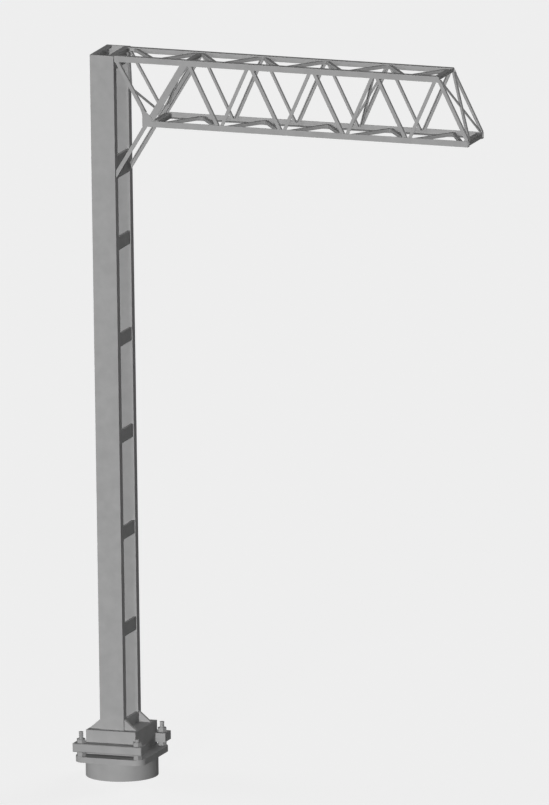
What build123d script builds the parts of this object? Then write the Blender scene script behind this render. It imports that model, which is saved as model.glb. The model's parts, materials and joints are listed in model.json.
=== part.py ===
"""Lattice signal mast with a cantilever truss arm, an H0 (1:87) railway model that plugs into a layout board.

Millimetres, +Z up. The origin is the centre of the mounting plug at the underside of the base plate.
The arm runs along +X, and -Y is the front face.
"""

import math
import os

from build123d import *

os.makedirs("parts", exist_ok=True)

# Foot
PLUG_DIAMETER = 10.0
PLUG_DEPTH = 2.55
PLATE_LENGTH = 10.16
PLATE_WIDTH = 11.4
PLATE_THICKNESS = 0.79
PLATE_CORNER = 1.5
BAR_LENGTH = 10.06
BAR_INNER_Y = 3.6
BAR_OUTER_Y = 5.97
BAR_BOTTOM = 1.48
BAR_TOP = 2.68
BAR_ROUNDING = 0.2
FOOT_BOX_LENGTH = 7.2
FOOT_BOX_WIDTH = 8.6
FOOT_BOX_BOTTOM = 1.02
FOOT_TOP = 4.37
STUD_X = 4.09
STUD_Y = 4.93
STUD_DIAMETER = 0.62
STUD_EMBEDMENT = 0.5
STUD_TOPS = {(-1, -1): 4.2, (1, -1): 3.65, (1, 1): 4.05, (-1, 1): 4.1}
THREAD_PITCH = 0.24
THREAD_DEPTH = 0.09
NUT_ACROSS_FLATS = 1.1
NUT_HEIGHT = 0.55
STUD_CLEARANCE = 0.05
GUSSET_THICKNESS = 0.5
GUSSET_RUN = 1.67
GUSSET_RISE = 1.42

# Mast
MAST_WIDTH = 3.455
MAST_CENTRE_X = -0.12
MAST_HALF_DEPTH = 3.43
MAST_TOP = 99.0
WEB_THICKNESS = 0.3
FLANGE_THICKNESS = 0.42
FLANGE_TIP_Y = 2.31
HEAD_ANGLE_LEG = 0.83
HEAD_ANGLE_BOTTOM = 97.0
BATTEN_HEIGHT = 1.84
BATTEN_THICKNESS = 0.34
BATTEN_RECESS = 0.09
LOWEST_BATTEN_Z = 18.25
BATTEN_PITCH = 13.54
BATTEN_COUNT = 5
FOOT_BATTEN_HEIGHT = 1.45
KNEE_BATTEN_BOTTOM = 81.65
KNEE_BATTEN_HEIGHT = 3.15

# Arm
ARM_HALF_DEPTH = 3.135
ARM_BOTTOM = 89.33
CHORD_LEG = 0.83
CHORD_SHELF = 0.7
ANGLE_THICKNESS = 0.12
PANEL = 9.15
FIRST_TOP_NODE = 12.1
FIRST_BOTTOM_NODE = 16.8
PANEL_COUNT = 4
DIAGONAL_LEG = 0.47
STRUT_LEG = 0.54
STRUT_TOP_X = 11.92
STRUT_SLOPE = 0.6195
HANGER_TOP_X = 1.45
HANGER_SLOPE = 0.566
TOP_BAR_END_Z = 98.42
BOTTOM_BAR_END_Z = 89.9
BOTTOM_CHORD_START = 7.0
BOTTOM_CHORD_END = 53.15
LACING_WIDTH = 0.45
LACING_DEPTH = 0.45
LACING_START_X = 2.4
BRACE_WIDTH = 0.46
BRACE_DEPTH = 0.3
BRACE_BOTTOM = 90.2
KNEE_BRACE_BOTTOM = 91.0
MID_BRACE_PANEL = 2
STRUT_FOOT_Z = 82.3
KNEE_DIAGONAL_LEG = 0.4
KNEE_DIAGONAL_TOP_Z = 98.2
HANGER_MIDDLE_Z = 94.6
HANGER_END_Z = 91.3
KNEE_GUSSET_LEFT = 5.58
KNEE_GUSSET_SHOULDER_Z = 91.0
KNEE_GUSSET_TOP_Z = 91.75
KNEE_GUSSET_TOP_LEFT = 5.34
KNEE_GUSSET_TOP_RIGHT = 5.75
KNEE_GUSSET_RIGHT_Z = 90.55
CROSSBAR_WIDTH = 0.7
TIP_BAR_WIDTH = 0.8
KNEE_BAR_START = 6.85
KNEE_BAR_END = 7.76

MAST_LEFT = MAST_CENTRE_X - MAST_WIDTH / 2
MAST_RIGHT = MAST_CENTRE_X + MAST_WIDTH / 2
WEB_INNER_Y = MAST_HALF_DEPTH - WEB_THICKNESS
BAR_OUTER_PLANE = ARM_HALF_DEPTH - ANGLE_THICKNESS
BAR_INNER_PLANE = BAR_OUTER_PLANE - DIAGONAL_LEG
BRACE_REACH_Y = BAR_OUTER_PLANE - ANGLE_THICKNESS
LAST_TOP_NODE = FIRST_TOP_NODE + PANEL_COUNT * PANEL
LAST_BOTTOM_NODE = FIRST_BOTTOM_NODE + PANEL_COUNT * PANEL
TOP_SHELF_Z = MAST_TOP - ANGLE_THICKNESS
BOTTOM_SHELF_Z = ARM_BOTTOM + ANGLE_THICKNESS
FAR = 60.0
SIDES = {"front": -1, "back": 1}
HANDS = {"left": -1, "right": 1}
UP = Vector(0, 0, 1)


def save(part, name):
    """Label one finished piece and write its STEP file."""
    part.label = name
    export_step(part, f"parts/{name}.step")


def block(low, high, mode=Mode.ADD):
    """Box between two opposite corners, in the current part."""
    size = Vector(high) - Vector(low)
    with Locations((Vector(high) + Vector(low)) / 2):
        Box(size.X, size.Y, size.Z, mode=mode)


def plate_in_xz(points, y_from, y_to):
    """Flat plate with an outline of (x, z) points, between two y planes, in the current part."""
    with BuildSketch(Plane(origin=(0, y_from, 0), x_dir=(1, 0, 0), z_dir=(0, -1, 0))) as outline:
        Polygon(*points, align=None)
    extrude(outline.sketch, amount=y_from - y_to)


def angle_bar(start, end, outward, towards, leg, depth, low, high):
    """Angle bar along start-end, cut by the box low-high, in the current part.

    Its face leg is centred on the line and looks outward. Its other leg, depth deep, stands behind the
    edge that lies towards the given direction.
    """
    run = (Vector(end) - Vector(start)).normalized()
    across = outward.cross(run).normalized()
    leg_side = math.copysign(1, across.dot(towards))
    overrun = 2 * leg
    length = (Vector(end) - Vector(start)).length + 2 * overrun
    face_offset = -ANGLE_THICKNESS / 2
    leg_x = leg_side * (leg - ANGLE_THICKNESS) / 2
    with BuildSketch(Plane(origin=Vector(start) - run * overrun, x_dir=across, z_dir=run)) as section:
        with Locations((0, face_offset)):
            Rectangle(leg, ANGLE_THICKNESS)
        with Locations((leg_x, -depth / 2)):
            Rectangle(ANGLE_THICKNESS, depth)
    extrude(section.sketch, amount=length)
    block(low, high, mode=Mode.INTERSECT)


def truss_bar(
    name, start, end, side, leg, low_x=MAST_RIGHT, high_x=FAR, low_z=BOTTOM_BAR_END_Z, high_z=TOP_BAR_END_Z
):
    """Angle bar in a face of the arm, behind the chords' upright legs, from (x, z) to (x, z)."""
    face_y = side * BAR_OUTER_PLANE
    outward = Vector(0, side, 0)
    low = (low_x, -ARM_HALF_DEPTH, low_z)
    high = (high_x, ARM_HALF_DEPTH, high_z)
    with BuildPart() as bar:
        start_point = (start[0], face_y, start[1])
        end_point = (end[0], face_y, end[1])
        angle_bar(start_point, end_point, outward, UP, leg, DIAGONAL_LEG, low, high)
    save(bar.part, name)


# ---------------------------------------------------------------- foot

with BuildPart() as mounting_plug:
    with BuildSketch(Plane.XY.offset(-PLUG_DEPTH)):
        Circle(PLUG_DIAMETER / 2)
    extrude(amount=PLUG_DEPTH)
save(mounting_plug.part, "mounting_plug")

with BuildPart() as base_plate:
    with BuildSketch():
        RectangleRounded(PLATE_LENGTH, PLATE_WIDTH, PLATE_CORNER)
    extrude(amount=PLATE_THICKNESS)
    with Locations(Plane.XY.offset(PLATE_THICKNESS)):
        with GridLocations(2 * STUD_X, 2 * STUD_Y, 2, 2):
            Hole(STUD_DIAMETER / 2, depth=STUD_EMBEDMENT)
save(base_plate.part, "base_plate")

for side_name, side in SIDES.items():
    bar_y = side * (BAR_INNER_Y + BAR_OUTER_Y) / 2
    with BuildPart() as clamp_bar:
        with BuildSketch(Plane.XY.offset(BAR_BOTTOM)):
            with Locations((0, bar_y)):
                Rectangle(BAR_LENGTH, BAR_OUTER_Y - BAR_INNER_Y)
        extrude(amount=BAR_TOP - BAR_BOTTOM)
        outer_face = clamp_bar.faces().sort_by(Axis.Y)[-1 if side > 0 else 0]
        fillet(outer_face.edges(), BAR_ROUNDING)
        with Locations(Plane.XY.offset(BAR_TOP)):
            with Locations((-STUD_X, side * STUD_Y), (STUD_X, side * STUD_Y)):
                Hole(STUD_DIAMETER / 2 + STUD_CLEARANCE)
    save(clamp_bar.part, f"clamp_bar_{side_name}")

with BuildPart() as foot_box:
    box_x = FOOT_BOX_LENGTH / 2
    box_y = FOOT_BOX_WIDTH / 2
    block((-box_x, -box_y, FOOT_BOX_BOTTOM), (box_x, box_y, FOOT_TOP))
    for side in SIDES.values():
        notch_y = sorted((side * BAR_INNER_Y, side * BAR_OUTER_Y))
        block((-box_x, notch_y[0], BAR_BOTTOM), (box_x, notch_y[1], BAR_TOP), mode=Mode.SUBTRACT)
save(foot_box.part, "foot_box")

with BuildPart() as anchor_studs:
    for (hand, side), top in STUD_TOPS.items():
        stud_bottom = PLATE_THICKNESS - STUD_EMBEDMENT
        with BuildSketch(Plane((hand * STUD_X, side * STUD_Y, stud_bottom))):
            Circle(STUD_DIAMETER / 2)
        extrude(amount=top - stud_bottom)
        first_groove = BAR_TOP + NUT_HEIGHT + THREAD_PITCH
        groove_count = int((top - first_groove) / THREAD_PITCH)
        for groove in range(groove_count):
            groove_z = first_groove + groove * THREAD_PITCH
            with BuildSketch(Plane((hand * STUD_X, side * STUD_Y, groove_z))):
                Circle(STUD_DIAMETER / 2)
                Circle(STUD_DIAMETER / 2 - THREAD_DEPTH, mode=Mode.SUBTRACT)
            extrude(amount=THREAD_PITCH / 2, mode=Mode.SUBTRACT)
save(anchor_studs.part, "anchor_studs")

for nut_name, nut_bottom, nut_height in (
    ("levelling_nuts", PLATE_THICKNESS, BAR_BOTTOM - PLATE_THICKNESS),
    ("clamp_nuts", BAR_TOP, NUT_HEIGHT),
):
    with BuildPart() as nuts:
        with BuildSketch(Plane.XY.offset(nut_bottom)):
            with GridLocations(2 * STUD_X, 2 * STUD_Y, 2, 2):
                RegularPolygon(NUT_ACROSS_FLATS / 2, 6, major_radius=False)
                Circle(STUD_DIAMETER / 2, mode=Mode.SUBTRACT)
        extrude(amount=nut_height)
    save(nuts.part, nut_name)

for side_name, side in SIDES.items():
    with BuildPart() as foot_gussets:
        for hand, mast_face in ((-1, MAST_LEFT), (1, MAST_RIGHT)):
            outline = [
                (mast_face, FOOT_TOP),
                (mast_face + hand * GUSSET_RUN, FOOT_TOP),
                (mast_face, FOOT_TOP + GUSSET_RISE),
            ]
            plate_in_xz(outline, side * WEB_INNER_Y, side * (WEB_INNER_Y - GUSSET_THICKNESS))
    save(foot_gussets.part, f"foot_gussets_{side_name}")

# ---------------------------------------------------------------- mast

for side_name, side in SIDES.items():
    with BuildPart() as channel:
        outer = side * MAST_HALF_DEPTH
        web_inner = side * WEB_INNER_Y
        tip = side * FLANGE_TIP_Y
        block((MAST_LEFT, min(outer, web_inner), FOOT_TOP), (MAST_RIGHT, max(outer, web_inner), MAST_TOP))
        for low_x in (MAST_LEFT, MAST_RIGHT - FLANGE_THICKNESS):
            flange_low = (low_x, min(web_inner, tip), FOOT_TOP)
            flange_high = (low_x + FLANGE_THICKNESS, max(web_inner, tip), MAST_TOP - WEB_THICKNESS)
            block(flange_low, flange_high)
    save(channel.part, f"mast_channel_{side_name}")


def side_plate(hand, inset, thickness, low_z, high_z, mode=Mode.ADD):
    """Plate between the flange tips on the left (-1) or right (1) of the mast, in the current part."""
    outer_x = MAST_CENTRE_X + hand * (MAST_WIDTH / 2 - inset)
    inner_x = outer_x - hand * thickness
    low = (min(outer_x, inner_x), -FLANGE_TIP_Y, low_z)
    high = (max(outer_x, inner_x), FLANGE_TIP_Y, high_z)
    block(low, high, mode)


for hand_name, hand in HANDS.items():
    with BuildPart() as head_angle:
        side_plate(hand, 0, FLANGE_THICKNESS, HEAD_ANGLE_BOTTOM, MAST_TOP - WEB_THICKNESS)
        outer_x = MAST_CENTRE_X + hand * MAST_WIDTH / 2
        inner_x = outer_x - hand * HEAD_ANGLE_LEG
        shelf_low = (min(outer_x, inner_x), -WEB_INNER_Y, MAST_TOP - WEB_THICKNESS)
        block(shelf_low, (max(outer_x, inner_x), WEB_INNER_Y, MAST_TOP))
    save(head_angle.part, f"head_angle_{hand_name}")

for level in range(BATTEN_COUNT):
    centre_z = LOWEST_BATTEN_Z + level * BATTEN_PITCH
    with BuildPart() as battens:
        for hand in HANDS.values():
            low_z = centre_z - BATTEN_HEIGHT / 2
            side_plate(hand, BATTEN_RECESS, BATTEN_THICKNESS, low_z, low_z + BATTEN_HEIGHT)
    save(battens.part, f"battens_level_{level + 1}")

for batten_name, low_z, height in (
    ("foot_battens", FOOT_TOP, FOOT_BATTEN_HEIGHT),
    ("knee_battens", KNEE_BATTEN_BOTTOM, KNEE_BATTEN_HEIGHT),
):
    with BuildPart() as flush_battens:
        for hand in HANDS.values():
            side_plate(hand, 0, FLANGE_THICKNESS, low_z, low_z + height)
    save(flush_battens.part, batten_name)

# ---------------------------------------------------------------- arm: chords and main bars

diagonal_slope = (FIRST_BOTTOM_NODE - FIRST_TOP_NODE) / (MAST_TOP - ARM_BOTTOM)
post_edge = DIAGONAL_LEG / 2 * math.hypot(1, diagonal_slope)
chord_slant = diagonal_slope * CHORD_LEG
top_chord_end = LAST_TOP_NODE + post_edge
strut_foot_x = STRUT_TOP_X - STRUT_SLOPE * (MAST_TOP - STRUT_FOOT_Z)
strut_ends = ((strut_foot_x, STRUT_FOOT_Z), (STRUT_TOP_X, MAST_TOP))
knee_diagonal_shift = (STRUT_LEG + KNEE_DIAGONAL_LEG) / 2 * math.hypot(1, STRUT_SLOPE)
knee_diagonal_ends = tuple((x + knee_diagonal_shift, z) for x, z in strut_ends)
hanger_foot_x = HANGER_TOP_X + HANGER_SLOPE * (MAST_TOP - BOTTOM_BAR_END_Z)
hanger_ends = ((HANGER_TOP_X, MAST_TOP), (hanger_foot_x, BOTTOM_BAR_END_Z))

for side_name, side in SIDES.items():
    outer = side * ARM_HALF_DEPTH
    inner = side * BAR_OUTER_PLANE
    shelf = side * (ARM_HALF_DEPTH - CHORD_SHELF)

    with BuildPart() as top_chord:
        outline = [
            (MAST_RIGHT, MAST_TOP),
            (top_chord_end, MAST_TOP),
            (top_chord_end + chord_slant, MAST_TOP - CHORD_LEG),
            (MAST_RIGHT, MAST_TOP - CHORD_LEG),
        ]
        plate_in_xz(outline, outer, inner)
        block((MAST_RIGHT, min(outer, shelf), TOP_SHELF_Z), (top_chord_end, max(outer, shelf), MAST_TOP))
    save(top_chord.part, f"top_chord_{side_name}")

    with BuildPart() as bottom_chord:
        chord_low = (BOTTOM_CHORD_START, min(outer, inner), ARM_BOTTOM)
        block(chord_low, (BOTTOM_CHORD_END, max(outer, inner), ARM_BOTTOM + CHORD_LEG))
        shelf_low = (BOTTOM_CHORD_START, min(outer, shelf), ARM_BOTTOM)
        block(shelf_low, (BOTTOM_CHORD_END, max(outer, shelf), BOTTOM_SHELF_Z))
    save(bottom_chord.part, f"bottom_chord_{side_name}")

    truss_bar(f"knee_strut_{side_name}", *strut_ends, side, STRUT_LEG, low_z=FOOT_TOP)
    truss_bar(
        f"knee_diagonal_{side_name}", *knee_diagonal_ends, side, KNEE_DIAGONAL_LEG, high_z=KNEE_DIAGONAL_TOP_Z
    )
    truss_bar(f"hanger_{side_name}", *hanger_ends, side, DIAGONAL_LEG, low_z=HANGER_END_Z)

    with BuildPart() as knee_gusset:
        outline = [
            (KNEE_GUSSET_LEFT, ARM_BOTTOM),
            (KNEE_GUSSET_LEFT, KNEE_GUSSET_SHOULDER_Z),
            (KNEE_GUSSET_TOP_LEFT, KNEE_GUSSET_TOP_Z),
            (KNEE_GUSSET_TOP_RIGHT, KNEE_GUSSET_TOP_Z),
            (BOTTOM_CHORD_START, KNEE_GUSSET_RIGHT_Z),
            (BOTTOM_CHORD_START, ARM_BOTTOM),
        ]
        plate_in_xz(outline, outer, inner)
    save(knee_gusset.part, f"knee_gusset_{side_name}")

    for panel in range(PANEL_COUNT):
        top_x = FIRST_TOP_NODE + panel * PANEL
        bottom_x = FIRST_BOTTOM_NODE + panel * PANEL
        next_top_x = top_x + PANEL
        falling = f"diagonal_{side_name}_{2 * panel + 1}"
        rising = f"diagonal_{side_name}_{2 * panel + 2}"
        truss_bar(falling, (top_x, MAST_TOP), (bottom_x, ARM_BOTTOM), side, DIAGONAL_LEG)
        truss_bar(rising, (bottom_x, ARM_BOTTOM), (next_top_x, MAST_TOP), side, DIAGONAL_LEG)

    post_ends = ((LAST_TOP_NODE, MAST_TOP), (LAST_BOTTOM_NODE, ARM_BOTTOM))
    truss_bar(f"end_post_{side_name}", *post_ends, side, DIAGONAL_LEG, high_x=BOTTOM_CHORD_END)

# ---------------------------------------------------------------- arm: plan lacing and crossbars


def lacing_bar(start, end, face_z, outward, low_x, high_x):
    """One bar between the chords, from (x, side) to (x, side), cut off at two x planes."""
    low_z = min(face_z, face_z - outward * LACING_DEPTH)
    middle_x = (start[0] + end[0]) / 2
    run_x = end[0] - start[0]
    run_y = (end[1] - start[1]) * BAR_OUTER_PLANE
    length = math.hypot(run_x, run_y) + 2 * LACING_WIDTH
    with BuildPart() as bar:
        with BuildSketch(Plane.XY.offset(low_z)):
            with Locations((middle_x, 0)):
                Rectangle(length, LACING_WIDTH, rotation=math.degrees(math.atan2(run_y, run_x)))
        extrude(amount=LACING_DEPTH)
        low = (low_x, -BAR_OUTER_PLANE, low_z)
        block(low, (high_x, BAR_OUTER_PLANE, low_z + LACING_DEPTH), mode=Mode.INTERSECT)
    return bar.part


def lacing(name, nodes, gaps, face_z, outward):
    """Zigzag of bars: nodes are (x, side), and gaps are the x spans that the crossbars fill."""
    bars = []
    for start, end in zip(nodes, nodes[1:]):
        low_x = max([start[0]] + [high for low, high in gaps if low <= start[0] <= high])
        high_x = min([end[0]] + [low for low, high in gaps if low <= end[0] <= high])
        bars.append(lacing_bar(start, end, face_z, outward, low_x, high_x))
    with BuildPart() as zigzag:
        add(bars)
    save(zigzag.part, name)


def crossbars(name, spans, reach_y, low_z, high_z):
    """Square-ended bars from the front face of the arm to the back face, one over each x span."""
    with BuildPart() as bars:
        for low_x, high_x in spans:
            block((low_x, -reach_y, low_z), (high_x, reach_y, high_z))
    save(bars.part, name)


knee_top_span = (FIRST_TOP_NODE - CROSSBAR_WIDTH / 2, FIRST_TOP_NODE + CROSSBAR_WIDTH / 2)
tip_top_span = (top_chord_end - TIP_BAR_WIDTH, top_chord_end)
knee_bottom_span = (KNEE_BAR_START, KNEE_BAR_END)
tip_bottom_span = (BOTTOM_CHORD_END - TIP_BAR_WIDTH, BOTTOM_CHORD_END)

top_nodes = [(LACING_START_X, 1), (FIRST_TOP_NODE - PANEL / 2, -1), (FIRST_TOP_NODE, 1)]
bottom_nodes = [(KNEE_BAR_END, -1), (FIRST_BOTTOM_NODE - PANEL / 2, 1), (FIRST_BOTTOM_NODE, -1)]
for panel in range(PANEL_COUNT):
    top_x = FIRST_TOP_NODE + panel * PANEL
    bottom_x = FIRST_BOTTOM_NODE + panel * PANEL
    top_nodes += [(top_x + PANEL / 2, -1), (top_x + PANEL, 1)]
    bottom_nodes += [(bottom_x + PANEL / 2, 1), (min(bottom_x + PANEL, tip_bottom_span[0]), -1)]

lacing("top_lacing", top_nodes, (knee_top_span, tip_top_span), TOP_SHELF_Z, 1)
lacing("bottom_lacing", bottom_nodes, (), BOTTOM_SHELF_Z, -1)

top_bar_low = TOP_SHELF_Z - LACING_DEPTH
chord_top = ARM_BOTTOM + CHORD_LEG
crossbars("top_crossbars", (knee_top_span, tip_top_span), BAR_OUTER_PLANE, top_bar_low, TOP_SHELF_Z)
crossbars("bottom_crossbars", (knee_bottom_span, tip_bottom_span), BAR_INNER_PLANE, BOTTOM_SHELF_Z, chord_top)

# ---------------------------------------------------------------- arm: bracing between the two faces


def brace_bar(bottom, top, leg, layer, reach_y, y_signs, low_z, high_z):
    """Small angle bar in the sloping plane of a front and a back bar, from one face of the arm to the other.

    bottom and top are (x, z) on the bars' centre line, leg is the bars' width, and layer counts
    thicknesses down from their upper edge.
    """
    slope_run = (Vector(top[0], 0, top[1]) - Vector(bottom[0], 0, bottom[1])).normalized()
    normal = slope_run.cross(Vector(0, 1, 0))
    normal = normal if normal.Z > 0 else -normal
    lift = normal * (leg / 2 - layer * ANGLE_THICKNESS)
    start = Vector(bottom[0], y_signs[0] * BAR_OUTER_PLANE, bottom[1]) + lift
    end = Vector(top[0], y_signs[1] * BAR_OUTER_PLANE, top[1]) + lift
    with BuildPart() as bar:
        low = (-FAR, -reach_y, low_z)
        angle_bar(start, end, normal, UP, BRACE_WIDTH, BRACE_DEPTH, low, (FAR, reach_y, high_z))
    return bar.part


def cross_brace(name, bottom, top, leg, low_z):
    """Two angle bars that cross and are welded where they meet."""
    upper = brace_bar(bottom, top, leg, 0, BAR_INNER_PLANE, (-1, 1), low_z, TOP_BAR_END_Z)
    lower = brace_bar(bottom, top, leg, 1, BRACE_REACH_Y, (1, -1), low_z, TOP_BAR_END_Z)
    with BuildPart() as pair:
        add([upper, lower])
    save(pair.part, name)


knee_bottom_x = STRUT_TOP_X - STRUT_SLOPE * (MAST_TOP - KNEE_BRACE_BOTTOM)
knee_line = ((knee_bottom_x, KNEE_BRACE_BOTTOM), (STRUT_TOP_X, MAST_TOP))
cross_brace("knee_cross_brace", *knee_line, STRUT_LEG, KNEE_BRACE_BOTTOM)

mid_bottom_x = FIRST_BOTTOM_NODE + MID_BRACE_PANEL * PANEL
mid_top_x = FIRST_TOP_NODE + (MID_BRACE_PANEL + 1) * PANEL
mid_line = ((mid_bottom_x, ARM_BOTTOM), (mid_top_x, MAST_TOP))
cross_brace("middle_cross_brace", *mid_line, DIAGONAL_LEG, BRACE_BOTTOM)

tip_line = ((LAST_BOTTOM_NODE, ARM_BOTTOM), (LAST_TOP_NODE, MAST_TOP))
cross_brace("tip_cross_brace", *tip_line, DIAGONAL_LEG, BRACE_BOTTOM)

hanger_middle_x = HANGER_TOP_X + HANGER_SLOPE * (MAST_TOP - HANGER_MIDDLE_Z)
hanger_bottom_x = HANGER_TOP_X + HANGER_SLOPE * (MAST_TOP - ARM_BOTTOM)
hanger_top = (HANGER_TOP_X, MAST_TOP)
hanger_middle = (hanger_middle_x, HANGER_MIDDLE_Z)
hanger_bottom = (hanger_bottom_x, ARM_BOTTOM)
upper_bar = brace_bar(
    hanger_middle, hanger_top, DIAGONAL_LEG, 1, BRACE_REACH_Y, (-1, 1), HANGER_MIDDLE_Z, TOP_BAR_END_Z
)
lower_bar = brace_bar(
    hanger_bottom, hanger_middle, DIAGONAL_LEG, 1, BRACE_REACH_Y, (1, -1), KNEE_BRACE_BOTTOM, HANGER_MIDDLE_Z
)
with BuildPart() as hanger_lacing:
    add([upper_bar, lower_bar])
save(hanger_lacing.part, "hanger_lacing")
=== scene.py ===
"""Studio scene of the model signal mast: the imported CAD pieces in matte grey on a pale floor."""

import json
import math

import bpy
from mathutils import Matrix, Vector


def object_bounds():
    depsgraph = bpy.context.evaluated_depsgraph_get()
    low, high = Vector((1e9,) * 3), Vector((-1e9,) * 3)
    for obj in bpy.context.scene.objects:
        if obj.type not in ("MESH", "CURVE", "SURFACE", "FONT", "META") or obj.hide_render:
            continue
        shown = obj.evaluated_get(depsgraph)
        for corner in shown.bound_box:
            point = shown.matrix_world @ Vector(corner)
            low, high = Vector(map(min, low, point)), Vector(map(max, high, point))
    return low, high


WHITE = (1, 1, 1, 1)

# Camera: an orthographic view, in metres and degrees
CAMERA_AZIMUTH = 20.49
CAMERA_ELEVATION = 12.43
CAMERA_ROLL = 0.895
CAMERA_DISTANCE = 0.6
CAMERA_AIM = Vector((0.01666, 0.01727, 0.04696))
CAMERA_NEAR = 0.001
CAMERA_FAR = 10
VIEW_HEIGHT = 0.1103

# Floor, and the softened edges of the pieces
FLOOR_SIZE = 3.0
FLOOR_GREY = 0.3
FLOOR_GLOW = 0.775
EDGE_ROUNDING = 0.00002
EDGE_SEGMENTS = 2
EDGE_ANGLE = 40

# Finish of each material slot. The grain's size and the depth of its bump are in metres.
FINISHES = {
    "steelwork_plastic": dict(grey=0.40, roughness=0.62, grain=0.00012, bump_depth=0.000004),
    "foot_plastic": dict(grey=0.40, roughness=0.68, grain=0.00018, bump_depth=0.000006),
    "fastener_metal": dict(grey=0.38, roughness=0.48, grain=0.00008, bump_depth=0.000003),
}
SPECULAR_LEVEL = 0.25
MOTTLE_SIZE = 12            # in grains
MOTTLE_DETAIL = 4
MOTTLE_NOISE = (0.3, 0.7)   # the part of the noise that is spread over the mottling
MOTTLE_SPREAD = 0.05        # share of the grey
GLOSS_SIZE = 5              # in grains
GLOSS_DETAIL = 3
ROUGHNESS_SPREAD = 0.08
GRAIN_DETAIL = 5
BUMP_STRENGTH = 0.5

# Lights: direction towards the sun, and its size in degrees. The wash casts no shadow.
FRONT = (0.06, -0.97, 0.15)
SUNS = {
    "key": dict(towards=FRONT, strength=0.45, size=12, shadows=True),
    "front_wash": dict(towards=FRONT, strength=2.0, size=12, shadows=False),
    "back_fill": dict(towards=(0.30, 0.90, 0.25), strength=1.0, size=40, shadows=True),
    "left_fill": dict(towards=(-0.90, 0.20, 0.12), strength=0.8, size=40, shadows=True),
}
SKY_STRENGTH = 0.03


def noise(nodes, links, coordinates, size, detail):
    """Noise in the object's own metres, with features of the given size."""
    texture = nodes.new("ShaderNodeTexNoise")
    texture.inputs["Scale"].default_value = 1 / size
    texture.inputs["Detail"].default_value = detail
    links.new(coordinates, texture.inputs["Vector"])
    return texture.outputs["Fac"]


def finish_material(name, grey, roughness, grain, bump_depth):
    """Matte grey finish: faint mottling, roughness that varies a little, and a fine grain."""
    material = bpy.data.materials.new(name)
    material.use_nodes = True
    nodes = material.node_tree.nodes
    links = material.node_tree.links
    shader = nodes["Principled BSDF"]
    shader.inputs["Specular IOR Level"].default_value = SPECULAR_LEVEL
    coordinates = nodes.new("ShaderNodeTexCoord").outputs["Object"]

    mottle = nodes.new("ShaderNodeMapRange")
    mottle.inputs["From Min"].default_value, mottle.inputs["From Max"].default_value = MOTTLE_NOISE
    mottle.inputs["To Min"].default_value = grey * (1 - MOTTLE_SPREAD)
    mottle.inputs["To Max"].default_value = grey * (1 + MOTTLE_SPREAD)
    mottle_noise = noise(nodes, links, coordinates, MOTTLE_SIZE * grain, MOTTLE_DETAIL)
    links.new(mottle_noise, mottle.inputs["Value"])
    tone = nodes.new("ShaderNodeCombineColor")
    for channel in ("Red", "Green", "Blue"):
        links.new(mottle.outputs["Result"], tone.inputs[channel])
    links.new(tone.outputs["Color"], shader.inputs["Base Color"])

    gloss = nodes.new("ShaderNodeMapRange")
    gloss.inputs["To Min"].default_value = roughness - ROUGHNESS_SPREAD
    gloss.inputs["To Max"].default_value = roughness + ROUGHNESS_SPREAD
    gloss_noise = noise(nodes, links, coordinates, GLOSS_SIZE * grain, GLOSS_DETAIL)
    links.new(gloss_noise, gloss.inputs["Value"])
    links.new(gloss.outputs["Result"], shader.inputs["Roughness"])

    bump = nodes.new("ShaderNodeBump")
    bump.inputs["Strength"].default_value = BUMP_STRENGTH
    bump.inputs["Distance"].default_value = bump_depth
    links.new(noise(nodes, links, coordinates, grain, GRAIN_DETAIL), bump.inputs["Height"])
    links.new(bump.outputs["Normal"], shader.inputs["Normal"])
    return material


def finish_pieces(frame):
    """Every CAD piece keeps its mesh, with a softened edge and the finish of its slot."""
    materials = {
        name: finish_material(name + "_finish", **finish) for name, finish in FINISHES.items()
    }
    slots = {entry["node"]: entry["material_slot"] for entry in frame["record"]["subparts"]}
    for name, piece in frame["nodes"].items():
        for material_slot in piece.material_slots:
            material_slot.material = materials[slots[name]]
        rounding = piece.modifiers.new("softened_edges", "BEVEL")
        rounding.width = EDGE_ROUNDING
        rounding.segments = EDGE_SEGMENTS
        rounding.limit_method = "ANGLE"
        rounding.angle_limit = math.radians(EDGE_ANGLE)


def floor_material():
    """Matte paper that glows evenly, so that it stays pale under the dim sky."""
    material = bpy.data.materials.new("floor_paper")
    material.use_nodes = True
    shader = material.node_tree.nodes["Principled BSDF"]
    shader.inputs["Base Color"].default_value = (FLOOR_GREY, FLOOR_GREY, FLOOR_GREY, 1)
    shader.inputs["Roughness"].default_value = 1
    shader.inputs["Specular IOR Level"].default_value = 0
    shader.inputs["Emission Color"].default_value = WHITE
    shader.inputs["Emission Strength"].default_value = FLOOR_GLOW
    return material


def add_floor(height):
    """Pale floor that the plug stands on. It doesn't throw its light back on the object."""
    half = FLOOR_SIZE / 2
    outline = ((-half, -half), (half, -half), (half, half), (-half, half))
    corners = [(x, y, height) for x, y in outline]
    mesh = bpy.data.meshes.new("floor")
    mesh.from_pydata(corners, [], [(0, 1, 2, 3)])
    mesh.materials.append(floor_material())
    floor = bpy.data.objects.new("floor", mesh)
    bpy.context.scene.collection.objects.link(floor)
    floor.visible_diffuse = False
    floor.visible_glossy = False


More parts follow.
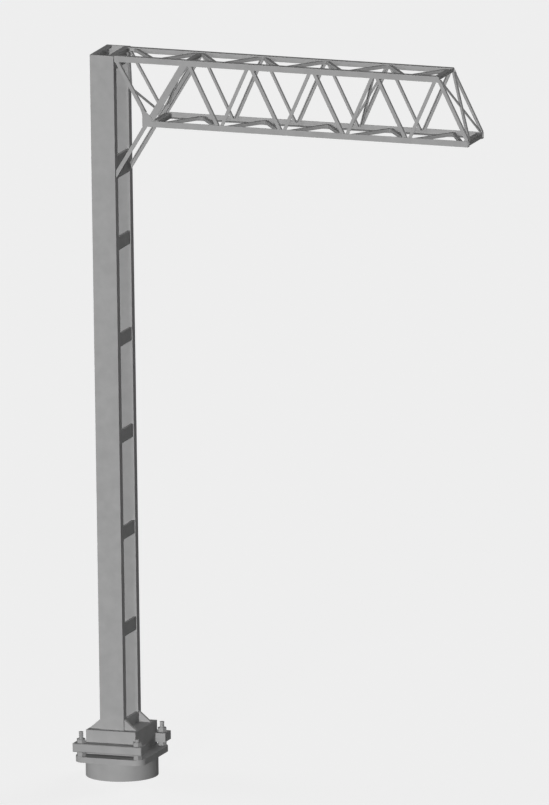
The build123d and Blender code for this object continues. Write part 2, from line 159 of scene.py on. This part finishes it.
def add_sun(name, towards, strength, size, shadows):
    """Sun lamp that shines from the given direction."""
    sun = bpy.data.lights.new(name, "SUN")
    sun.energy = strength
    sun.angle = math.radians(size)
    sun.use_shadow = shadows
    light = bpy.data.objects.new(name, sun)
    light.rotation_euler = Vector(towards).to_track_quat("Z", "Y").to_euler()
    bpy.context.scene.collection.objects.link(light)


def add_sky():
    """Dim, even light from all around."""
    world = bpy.data.worlds.new("studio")
    world.use_nodes = True
    background = world.node_tree.nodes["Background"]
    background.inputs["Color"].default_value = WHITE
    background.inputs["Strength"].default_value = SKY_STRENGTH
    bpy.context.scene.world = world


def add_camera():
    """Orthographic camera at its azimuth, elevation and roll, aimed at the middle of the view."""
    data = bpy.data.cameras.new("camera")
    data.type = "ORTHO"
    data.ortho_scale = VIEW_HEIGHT
    data.clip_start = CAMERA_NEAR
    data.clip_end = CAMERA_FAR
    turn = Matrix.Rotation(math.radians(CAMERA_AZIMUTH), 4, "Z")
    tilt = Matrix.Rotation(math.radians(90 - CAMERA_ELEVATION), 4, "X")
    roll = Matrix.Rotation(math.radians(-CAMERA_ROLL), 4, "Z")
    rotation = turn @ tilt @ roll
    camera = bpy.data.objects.new("camera", data)
    back = rotation @ Vector((0, 0, CAMERA_DISTANCE))
    camera.matrix_world = Matrix.Translation(CAMERA_AIM + back) @ rotation
    bpy.context.scene.collection.objects.link(camera)
    bpy.context.scene.camera = camera


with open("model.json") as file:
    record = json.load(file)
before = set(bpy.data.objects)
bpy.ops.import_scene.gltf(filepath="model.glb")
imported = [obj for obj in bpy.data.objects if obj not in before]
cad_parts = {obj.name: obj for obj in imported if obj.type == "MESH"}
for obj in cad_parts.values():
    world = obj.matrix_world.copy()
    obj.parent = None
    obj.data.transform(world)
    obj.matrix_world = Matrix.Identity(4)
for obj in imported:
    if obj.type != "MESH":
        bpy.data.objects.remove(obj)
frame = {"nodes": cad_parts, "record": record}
cad_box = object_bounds()
finish_pieces(frame)
add_floor(cad_box[0][2])
for sun_name, sun_settings in SUNS.items():
    add_sun(sun_name, **sun_settings)
add_sky()
add_camera()
bpy.context.scene.view_settings.view_transform = "Standard"
bpy.context.view_layer.update()
